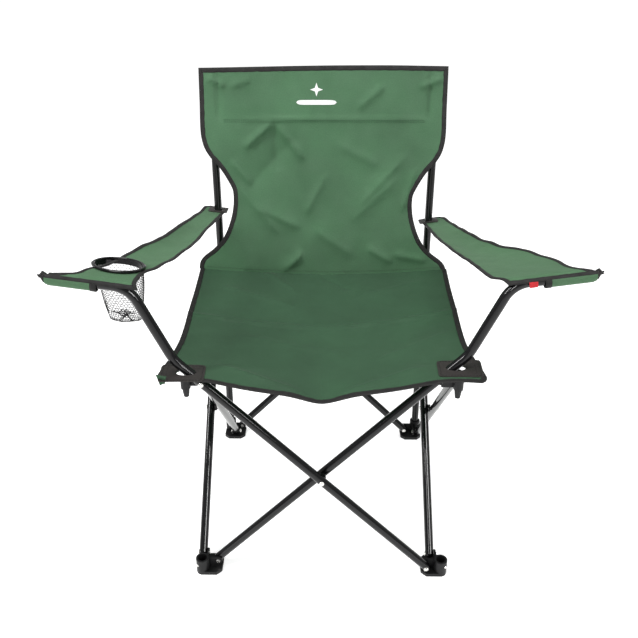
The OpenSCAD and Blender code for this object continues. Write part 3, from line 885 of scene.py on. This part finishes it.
def build_pocket(name, side, drape, cloth):
    """The rear wall of a pocket over the top of an upright."""
    foot, way = upright_line(name)
    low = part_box(f"back_pocket_{name}")[0]
    radius = tube_radius(name) + POCKET_ROOM

    def place(a, b):
        share = a / POCKET_WRAP
        front = drape.at(side * (POCKET_SEAM + POCKET_FLARE * share), b)
        post = foot + way * ((b - foot.z) / way.z)
        angle = math.pi * share
        across = post.x - side * radius * 1.1 * math.cos(angle)
        behind = Vector((across, post.y + radius * math.sin(angle), b))
        blend = math.sin(angle) ** 0.35 if 0 < share < 1 else 0
        return front.lerp(behind, blend)

    def cut(u, v):
        return POCKET_WRAP * u, low.z + 2 * MM + (BACK_TOP + 4 * MM - low.z) * v

    shape = Drape(place, facing=-side)
    piece = sheet_piece(
        f"back_pocket_cloth_{name}", cut_sheet(24, 24, cut), shape, cloth,
    )
    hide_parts(f"back_pocket_{name}")
    return piece


# The mark's middle, its star's long and short reach, and its bar's size
PRINT_MIDDLE = (-15 * MM, 782 * MM)
PRINT_APART, PRINT_LIFT = 12 * MM, 0.75 * MM
STAR_REACH, STAR_WAIST = 13 * MM, 4.6 * MM
BAR_SIZE = (82 * MM, 9 * MM)


def build_print(drape):
    """A plain printed mark: a four-pointed star over a rounded bar."""
    bm = bmesh.new()
    centre = Vector(PRINT_MIDDLE)
    made = bmesh.ops.create_circle(bm, cap_ends=True, cap_tris=True, segments=8, radius=1)
    ring = [vert for vert in made["verts"] if vert.co.length > 0.5]
    for vert in ring:
        turn = round(math.degrees(math.atan2(vert.co.y, vert.co.x)))
        reach = STAR_REACH if turn % 90 == 0 else STAR_WAIST
        vert.co = vert.co.normalized() * reach
    star = (centre.x, centre.y + PRINT_APART, PRINT_LIFT)
    bmesh.ops.translate(bm, verts=bm.verts, vec=star)
    bar = bmesh.ops.create_grid(bm, x_segments=24, y_segments=3, size=0.5)["verts"]
    for vert in bar:
        pinch = math.sqrt(max(0.0, 1 - (2 * abs(vert.co.x)) ** 8))
        vert.co = (
            centre.x + vert.co.x * BAR_SIZE[0],
            centre.y - PRINT_APART + vert.co.y * BAR_SIZE[1] * pinch,
            PRINT_LIFT,
        )
    bmesh.ops.remove_doubles(bm, verts=bm.verts, dist=0.05 * MM)
    bmesh.ops.subdivide_edges(bm, edges=bm.edges, cuts=3, use_grid_fill=True)
    for face in bm.faces:
        if face.normal.z < 0:
            face.normal_flip()
    return trim_piece("back_print", bm, drape, print_finish("white_print"), 0.2 * MM)


# ---- Armrests ----

ARM_SLOPE = math.radians(8)
PLUG_TO_BEND = 113 * MM
PLATE_LIFT = 13 * MM
# Room round the upright in its eyelet, the eyelet's width, and the hole for the cup ring
EYELET_ROOM, EYELET_SIZE = 2.2 * MM, 40 * MM
RING_HOLE = 38.6 * MM
# Where the sleeve starts and ends along the tube, and how much of its end is pinched
SLEEVE_START, SLEEVE_TIP, SLEEVE_PINCH = 48 * MM, 133 * MM, 12 * MM
SLEEVE_ROOM = 2.6 * MM
# The armrests' tape is narrower than the seat's and the back's
ARM_TAPE = 0.7
# How much more the cup ring tips to the rear than the armrest does
CUP_TILT = math.radians(3)
OUTER = {
    "right": smooth_line([
        (-13, 132), (-4, 112), (6, 86), (28, 73), (62, 54), (133, 37), (185, 23), (250, 4), (375, -17),
        (470, -33), (535, -40),
    ]),
    "left": smooth_line([
        (-13, 134), (-2, 112), (22, 93), (66, 86), (109, 71), (162, 50), (196, 26), (290, -2), (455, -31),
        (520, -38),
    ]),
}
INNER = {
    "right": smooth_line([
        (-13, -14), (0, -10), (48, -13), (80, -26), (136, -42), (224, -59), (317, -67), (443, -78),
        (535, -90),
    ]),
    "left": smooth_line([
        (-13, -8), (3, -20), (12, -30), (80, -40), (137, -48), (210, -62), (350, -78), (450, -84),
        (520, -92),
    ]),
}


class ArmFrame:
    """Directions of one armrest: along its tube, back to the upright, and up off the cloth."""

    def __init__(self, name):
        side = SIDES[name]
        self.name = name
        self.facing = side
        self.along = Vector((side * math.cos(ARM_SLOPE), 0, math.sin(ARM_SLOPE)))
        plug = from_base(middle(f"arm_plug_{name}"))
        self.radius = tube_radius(name)
        self.bend = plug - self.along * PLUG_TO_BEND
        reach = from_base(middle(f"armrest_plate_{name}")) - self.bend
        self.hole_along = reach.dot(self.along)
        reach -= self.along * self.hole_along
        up = self.along.cross(reach).normalized() * side
        tilt = math.asin(PLATE_LIFT / reach.length)
        self.rear = (reach.normalized() * math.cos(tilt) - up * math.sin(tilt)).normalized()
        self.up = self.along.cross(self.rear).normalized() * side
        self.hole_back = reach.dot(self.rear)
        self.lift = self.radius + 1.4 * MM
        cup = from_base(middle("cup_ring")) - self.bend
        self.cup = Vector((cup.dot(self.along), cup.dot(self.rear)))

    def point(self, a, b, c):
        """A point from its distances along, back and up."""
        return self.bend + self.along * a + self.rear * b + self.up * c

    def drape(self):
        """How the armrest's cloth lies: over the tube, then back to the upright."""

        def place(a, b):
            if b < 0:
                turn = b / self.lift
                return self.point(a, self.lift * math.sin(turn), self.lift * math.cos(turn))
            span = min(1, b / self.hole_back)
            inner, outer = INNER[self.name](b), OUTER[self.name](b)
            across = min(max((a - inner) / (outer - inner), 0), 1)
            sag = 7 * MM * math.sin(math.pi * span) * math.sin(math.pi * across)
            held = 0.0
            if self.name == "right":
                near = math.hypot(a - self.cup.x, b - self.cup.y)
                held = 1 - smoothstep(40 * MM, 75 * MM, near)
            edge_wave = abs(2 * across - 1) ** 2 * smoothstep(0.03, 0.12, b)
            waves = 3.0 * MM * ripple(b, a * 0.3, 24, self.facing) * edge_wave
            calm = smoothstep(0, 30 * MM, b) * (1 - held)
            tipped = (self.cup.y - b) * math.tan(CUP_TILT) * held * smoothstep(0, 20 * MM, b)
            return self.point(a, b, self.lift + (waves - sag) * calm + tipped)

        return Drape(place, self.facing)

    def cut(self, u, v):
        """The pattern of the armrest's cloth."""
        front = -13 * MM
        tail = self.hole_back + 26 * MM
        b = front + (tail - front) * v
        inner, outer = INNER[self.name](b), OUTER[self.name](b)
        round_tail = 1 - 0.35 * smoothstep(0.975, 1.0, v)
        centre = (inner + outer) / 2
        return centre + (inner - centre + (outer - inner) * u) * round_tail, b


def blended(piece, arm):
    """Bakes a piece's place into its mesh. The ends of the armrest's fold across its middle are worked
    out but not used.
    """
    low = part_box(f"armrest_rear_{arm.name}")[0]
    middle_back = (from_base(low) - arm.bend).dot(arm.rear)
    shift = Vector((0, BASE_Y, 0))
    start = arm.point(0, middle_back - 18 * MM, arm.lift) + shift
    end = arm.point(0, middle_back + 18 * MM, arm.lift) + shift
    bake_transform(piece)


def build_armrests():
    """The two armrests: cloth, tape, sleeve round the tube, and eyelet patch."""
    colours = bpy.context.scene.chair_colours
    sizes = bpy.context.scene.chair_cloth
    cloth = woven_finish("arm_cloth", colours.arms)
    tape = binding_tape()
    stiff = woven_finish("eyelet_cloth", colours.patch, thread=1.2 * MM, roughness=0.5)
    for name in SIDES:
        arm = ArmFrame(name)
        drape = arm.drape()
        loop = edge_points(arm.cut, [(0, 0), (1, 0), (1, 1), (0, 1), (0, 0)], sizes.cell)
        tape_part = tape_piece(
            f"arm_tape_{name}", loop[:-1], drape, tape, inward=1, closed=True,
            narrow=ARM_TAPE,
        )
        hole = (arm.hole_along, arm.hole_back)
        reach = arm.radius + EYELET_ROOM
        patch = patch_bmesh(hole, (EYELET_SIZE, EYELET_SIZE), 0, (reach, reach))
        eyelet = trim_piece(f"arm_eyelet_{name}", patch, raised(drape, 0.5 * MM), stiff, 1.6 * MM)
        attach(eyelet, f"{name}_armrest_rear")
        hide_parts(f"armrest_plate_{name}")
        rows = round(arm.hole_back / sizes.cell)
        bm = cut_sheet(rows, 26, arm.cut)
        punch(bm, hole, reach, reach)
        if name == "right":
            punch(bm, arm.cup, RING_HOLE, RING_HOLE)
        piece = sheet_piece(
            f"arm_sheet_{name}", bm, drape, cloth,
            width=OUTER[name](0) - INNER[name](0),
        )
        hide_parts(f"armrest_front_{name}", f"armrest_rear_{name}")
        blended(piece, arm)
        blended(tape_part, arm)
        build_sleeve(arm, cloth, tape)


def build_sleeve(arm, cloth, tape):
    """The underside of the sleeve round the tube, pinched shut at its tip."""
    round_r = arm.radius + SLEEVE_ROOM

    def place(a, b):
        turn = b / round_r
        shut = smoothstep(SLEEVE_TIP - SLEEVE_PINCH, SLEEVE_TIP, a)
        up = round_r * math.cos(turn)
        flat = arm.lift - 0.8 * MM - 1.8 * MM * math.sin(min(max(turn / 2, 0), math.pi))
        back = round_r * math.sin(turn) * (1 - 0.1 * shut)
        mix = shut * 0.85
        return arm.point(a, -back, up * (1 - mix) + flat * mix - 1.2 * MM)

    def cut(u, v):
        return SLEEVE_START + (SLEEVE_TIP - SLEEVE_START) * u, round_r * math.radians(70 + 200 * v)

    drape = Drape(place, -arm.facing)
    piece = sheet_piece(
        f"arm_sleeve_{arm.name}", cut_sheet(30, 18, cut), drape, cloth,
    )
    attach(piece, f"{arm.name}_armrest_front")
    for end, u, inward in (("tip", 1, 1), ("mouth", 0, -1)):
        line = [Vector(cut(u, i / 20)) for i in range(21)]
        part = tape_piece(f"arm_{end}_tape_{arm.name}", line, drape, tape, inward)
        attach(part, f"{arm.name}_armrest_front")


# ---- Cup net, flap and tag ----


NET_DEPTH = 90 * MM
NET_TOP_R, NET_BOTTOM_R = 37.2 * MM, 27 * MM
NET_ROWS, NET_WALL_ROWS = 27, 20
# How far the net's wall wanders in and out, and its bottom bunches up
NET_DROOP, NET_BUNCH = 4.5 * MM, 12 * MM


def build_cup_net():
    """The net bag under the cup ring: diamond cells that hang in and bunch at the bottom."""
    colours = bpy.context.scene.chair_colours
    sizes = bpy.context.scene.chair_cloth
    arm = ArmFrame("right")
    centre = arm.cup
    columns = sizes.net_columns
    bm = bmesh.new()
    layers, angle = ring_layers(bm, columns, NET_ROWS, twist=math.pi / columns)
    for i, layer in enumerate(layers):
        down = min(1, i / NET_WALL_ROWS)
        inward = max(0, (i - NET_WALL_ROWS) / (NET_ROWS - NET_WALL_ROWS))
        for vert in layer:
            turn = angle[vert]
            droop = noise.noise(Vector((math.cos(turn) * 1.6, math.sin(turn) * 1.6, down * 2.2)))
            radius = (NET_TOP_R + (NET_BOTTOM_R - NET_TOP_R) * down**1.4) * (1 - 0.93 * inward)
            radius += NET_DROOP * droop * down * (1 - 0.6 * inward)
            bunch = NET_BUNCH * inward * (1 + math.sin(3 * turn + 1)) / 2
            fall = -5 * MM - (NET_DEPTH - 7 * MM) * down - 5 * MM * math.sin(math.pi * inward)
            sag = 4 * MM * droop * down
            tipped = -radius * math.sin(turn) * math.tan(CUP_TILT) * (1 - 0.6 * down)
            vert.co = arm.point(
                centre.x + radius * math.cos(turn), centre.y + radius * math.sin(turn), arm.lift,
            )
            vert.co += Vector((0, 0, fall + bunch + sag + tipped))
    bmesh.ops.recalc_face_normals(bm, faces=bm.faces)
    piece = make_piece("cup_net_bag", bm, moulded_finish("net_thread", colours.tube))
    wires = piece.modifiers.new("threads", "WIREFRAME")
    wires.thickness = sizes.thread
    wires.use_even_offset = False
    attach(piece, "right_armrest_front")
    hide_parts("cup_net")


def build_flap():
    """A loose triangular end of the hem under the right front corner."""
    colours = bpy.context.scene.chair_colours
    low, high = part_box("corner_flap")
    bm = bmesh.new()
    bmesh.ops.create_grid(bm, x_segments=8, y_segments=8, size=0.5)
    for vert in bm.verts:
        u, v = vert.co.x + 0.5, vert.co.y + 0.5
        vert.co = (
            low.x - 3 * MM + (high.x - low.x) * (u * (0.45 + 0.55 * v) + 0.3 * (1 - v)),
            low.y - BASE_Y - 1.5 * MM + 2.2 * MM * math.sin(3 * u + 2 * v),
            low.z - 6 * MM + (high.z - low.z) * (v * 1.15 + 0.2 * (1 - v) * u),
        )
    keep_pattern(bm)
    # The flap takes the seat's darker green, which is painted shade
    piece = make_piece("hem_flap", bm, woven_finish("shaded_flap_cloth", colours.seat))
    thicken(piece, 0.9 * MM)
    squashed(piece, "right_seat")
    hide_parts("corner_flap")


# Where the tag starts along the arm tube, from its bend, and how far it hangs
TAG_ALONG = 22 * MM
TAG_DROP = 9 * MM


def build_tag():
    """A small red cloth tag sewn over the left armrest's front edge."""
    colours = bpy.context.scene.chair_colours
    arm = ArmFrame("left")
    low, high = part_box("care_tag")
    bm = bmesh.new()
    bmesh.ops.create_grid(bm, x_segments=6, y_segments=8, size=0.5)
    for vert in bm.verts:
        u, v = vert.co.x + 0.5, vert.co.y + 0.5
        curl = 1.2 * MM * math.sin(2.4 * v + u)
        vert.co = arm.point(
            TAG_ALONG + (high.x - low.x) * u, -arm.lift - 2.5 * MM - curl, 3 * MM - TAG_DROP * v,
        )
    keep_pattern(bm)
    piece = make_piece("sewn_tag", bm, woven_finish("tag_cloth", colours.tag, thread=0.6 * MM))
    thicken(piece, 0.5 * MM)
    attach(piece, "left_armrest_front")
    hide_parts("care_tag")


# ---- Frame finishes ----


def finish_frame():
    """Gives every CAD node that shows its painted, moulded or plated finish."""
    colours = bpy.context.scene.chair_colours
    tube = painted_finish("gloss_paint", colours.tube)
    plastic = moulded_finish("moulded_plastic", colours.plastic)
    metal = metal_finish("bright_metal")
    kinds = (
        (("leg_", "upright_left", "upright_right", "cup_ring"), tube),
        (("foot_rivets", "hub_rivets", "cross_rivet"), metal),
        (("foot_", "hub_", "upright_cap", "arm_plug", "spacer"), plastic),
    )
    for node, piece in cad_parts.items():
        material = next((m for names, m in kinds if node.startswith(names)), None)
        if material and not piece.hide_render:
            piece.data.materials.clear()
            piece.data.materials.append(material)


# ---- Stage ----


FLOOR_HALF = 60
FLOOR_GLOW = 0.62
# Strength of the surroundings, apart from what the camera sees
SKY_LIGHT = 0.45
# Name, place, size and watts of each light, and whether only glossy surfaces show it
LIGHTS = (
    ("key_box", (-2.1, -0.9, 2.2), (0.22, 1.6), 52, False),
    ("fill_box", (1.9, -1.6, 1.8), (0.25, 1.6), 18, False),
    ("top_box", (0, 0.2, 2.9), (1.6, 1.6), 34, False),
    ("right_streak", (1.5, -2.0, 2.4), (0.28, 2.4), 90, True),
    ("left_streak", (-0.9, -2.4, 2.4), (0.20, 2.4), 50, True),
)
# The camera stands a little to the right and is turned back a little
CAMERA_SIDE = 5.7 * MM
CAMERA_TURN = math.radians(0.6)


def area_light(name, place, aim, size, power, streak=False):
    """A soft box that shines at a point. A streak only shows in what is glossy."""
    light = bpy.data.lights.new(name, "AREA")
    light.shape = "RECTANGLE"
    light.size, light.size_y = size
    light.energy = power
    lamp = bpy.data.objects.new(name, light)
    lamp.location = place
    lamp.rotation_mode = "QUATERNION"
    lamp.rotation_quaternion = (Vector(aim) - Vector(place)).to_track_quat("-Z", "Y")
    lamp.visible_diffuse = not streak
    bpy.context.scene.collection.objects.link(lamp)


def build_stage():
    """The pale floor, the studio light and the camera."""
    colours = bpy.context.scene.chair_colours
    stage = bpy.context.scene.chair_stage
    bm = bmesh.new()
    bmesh.ops.create_grid(bm, x_segments=1, y_segments=1, size=FLOOR_HALF)
    finish = Finish("studio_floor")
    place = finish.add("ShaderNodeTexCoord").outputs["Object"]
    finish.link(finish.tint(colours.floor, finish.spread(place, 3.0, 0.995, 1.005)), "Base Color")
    finish.set(Roughness=0.9, Specular_IOR_Level=0.1)
    finish.set(Emission_Color=(1, 1, 1, 1), Emission_Strength=FLOOR_GLOW)
    floor = make_piece("studio_floor", bm, finish.material)
    world = bpy.data.worlds.new("studio")
    world.use_nodes = True
    tree = world.node_tree
    sky = tree.nodes["Background"]
    sky.inputs["Color"].default_value = (1, 1, 1, 1)
    path = tree.nodes.new("ShaderNodeLightPath")
    strength = tree.nodes.new("ShaderNodeMapRange")
    strength.inputs["To Min"].default_value = SKY_LIGHT
    strength.inputs["To Max"].default_value = 1.0
    tree.links.new(path.outputs["Is Camera Ray"], strength.inputs["Value"])
    tree.links.new(strength.outputs["Result"], sky.inputs["Strength"])
    bpy.context.scene.world = world
    for name, place, size, power, streak in LIGHTS:
        area_light(name, place, (0, 0, 0.3 if name == "top_box" else 0.4), size, power, streak)
    lens = bpy.data.cameras.new("camera")
    lens.lens = stage.lens
    camera = bpy.data.objects.new("camera", lens)
    camera.location = (CAMERA_SIDE, BASE_Y - stage.camera_depth, stage.camera_height)
    camera.rotation_euler = Euler((math.pi / 2 - stage.camera_pitch, 0, CAMERA_TURN))
    bpy.context.scene.collection.objects.link(camera)
    bpy.context.scene.camera = camera
    bpy.context.scene.view_settings.view_transform = "Standard"


# ---- Operators and panel ----


class CHAIR_OT_stage(bpy.types.Operator):
    """Sets up the floor, lights and camera"""

    bl_idname = "chair.stage"
    bl_label = "Studio Stage"

    def execute(self, context):
        build_stage()
        return {"FINISHED"}


class CHAIR_OT_frame(bpy.types.Operator):
    """Gives the tubes, plastics and rivets their finishes"""

    bl_idname = "chair.frame"
    bl_label = "Frame Finishes"

    def execute(self, context):
        finish_frame()
        return {"FINISHED"}


class CHAIR_OT_seat(bpy.types.Operator):
    """Makes the seat's cloth, tape, patches and stitches"""

    bl_idname = "chair.seat"
    bl_label = "Seat"

    def execute(self, context):
        build_seat()
        return {"FINISHED"}


class CHAIR_OT_back(bpy.types.Operator):
    """Makes the back's cloth, tape, pockets and print"""

    bl_idname = "chair.back"
    bl_label = "Back"

    def execute(self, context):
        build_back()
        return {"FINISHED"}


class CHAIR_OT_armrests(bpy.types.Operator):
    """Makes the armrests' cloth, tape, sleeves and eyelets"""

    bl_idname = "chair.armrests"
    bl_label = "Armrests"

    def execute(self, context):
        build_armrests()
        return {"FINISHED"}


class CHAIR_OT_cup_net(bpy.types.Operator):
    """Makes the cup holder's net"""

    bl_idname = "chair.cup_net"
    bl_label = "Cup Net"

    def execute(self, context):
        build_cup_net()
        return {"FINISHED"}


class CHAIR_OT_small_cloth(bpy.types.Operator):
    """Makes the loose hem flap and the sewn tag"""

    bl_idname = "chair.small_cloth"
    bl_label = "Flap and Tag"

    def execute(self, context):
        build_flap()
        build_tag()
        return {"FINISHED"}


OPERATORS = (
    CHAIR_OT_stage, CHAIR_OT_frame, CHAIR_OT_seat, CHAIR_OT_back, CHAIR_OT_armrests,
    CHAIR_OT_cup_net, CHAIR_OT_small_cloth,
)


class CHAIR_PT_panel(bpy.types.Panel):
    """Lists the chair's pieces"""

    bl_label = "Camp Chair"
    bl_idname = "CHAIR_PT_panel"
    bl_space_type = "VIEW_3D"
    bl_region_type = "UI"
    bl_category = "Chair"

    def draw(self, context):
        for operator in OPERATORS:
            self.layout.operator(operator.bl_idname)


CLASSES = (ChairClothSizes, ChairColours, ChairStageSizes, *OPERATORS, CHAIR_PT_panel)


def register():
    for cls in CLASSES:
        bpy.utils.register_class(cls)
    bpy.types.Scene.chair_cloth = PointerProperty(type=ChairClothSizes)
    bpy.types.Scene.chair_colours = PointerProperty(type=ChairColours)
    bpy.types.Scene.chair_stage = PointerProperty(type=ChairStageSizes)


def unregister():
    del bpy.types.Scene.chair_stage
    del bpy.types.Scene.chair_colours
    del bpy.types.Scene.chair_cloth
    for cls in reversed(CLASSES):
        bpy.utils.unregister_class(cls)


def main():
    """Builds every piece in order."""
    register()
    bpy.ops.chair.stage()
    bpy.ops.chair.seat()
    bpy.ops.chair.back()
    bpy.ops.chair.armrests()
    bpy.ops.chair.cup_net()
    bpy.ops.chair.small_cloth()
    bpy.ops.chair.frame()


if __name__ == "__main__":
    main()
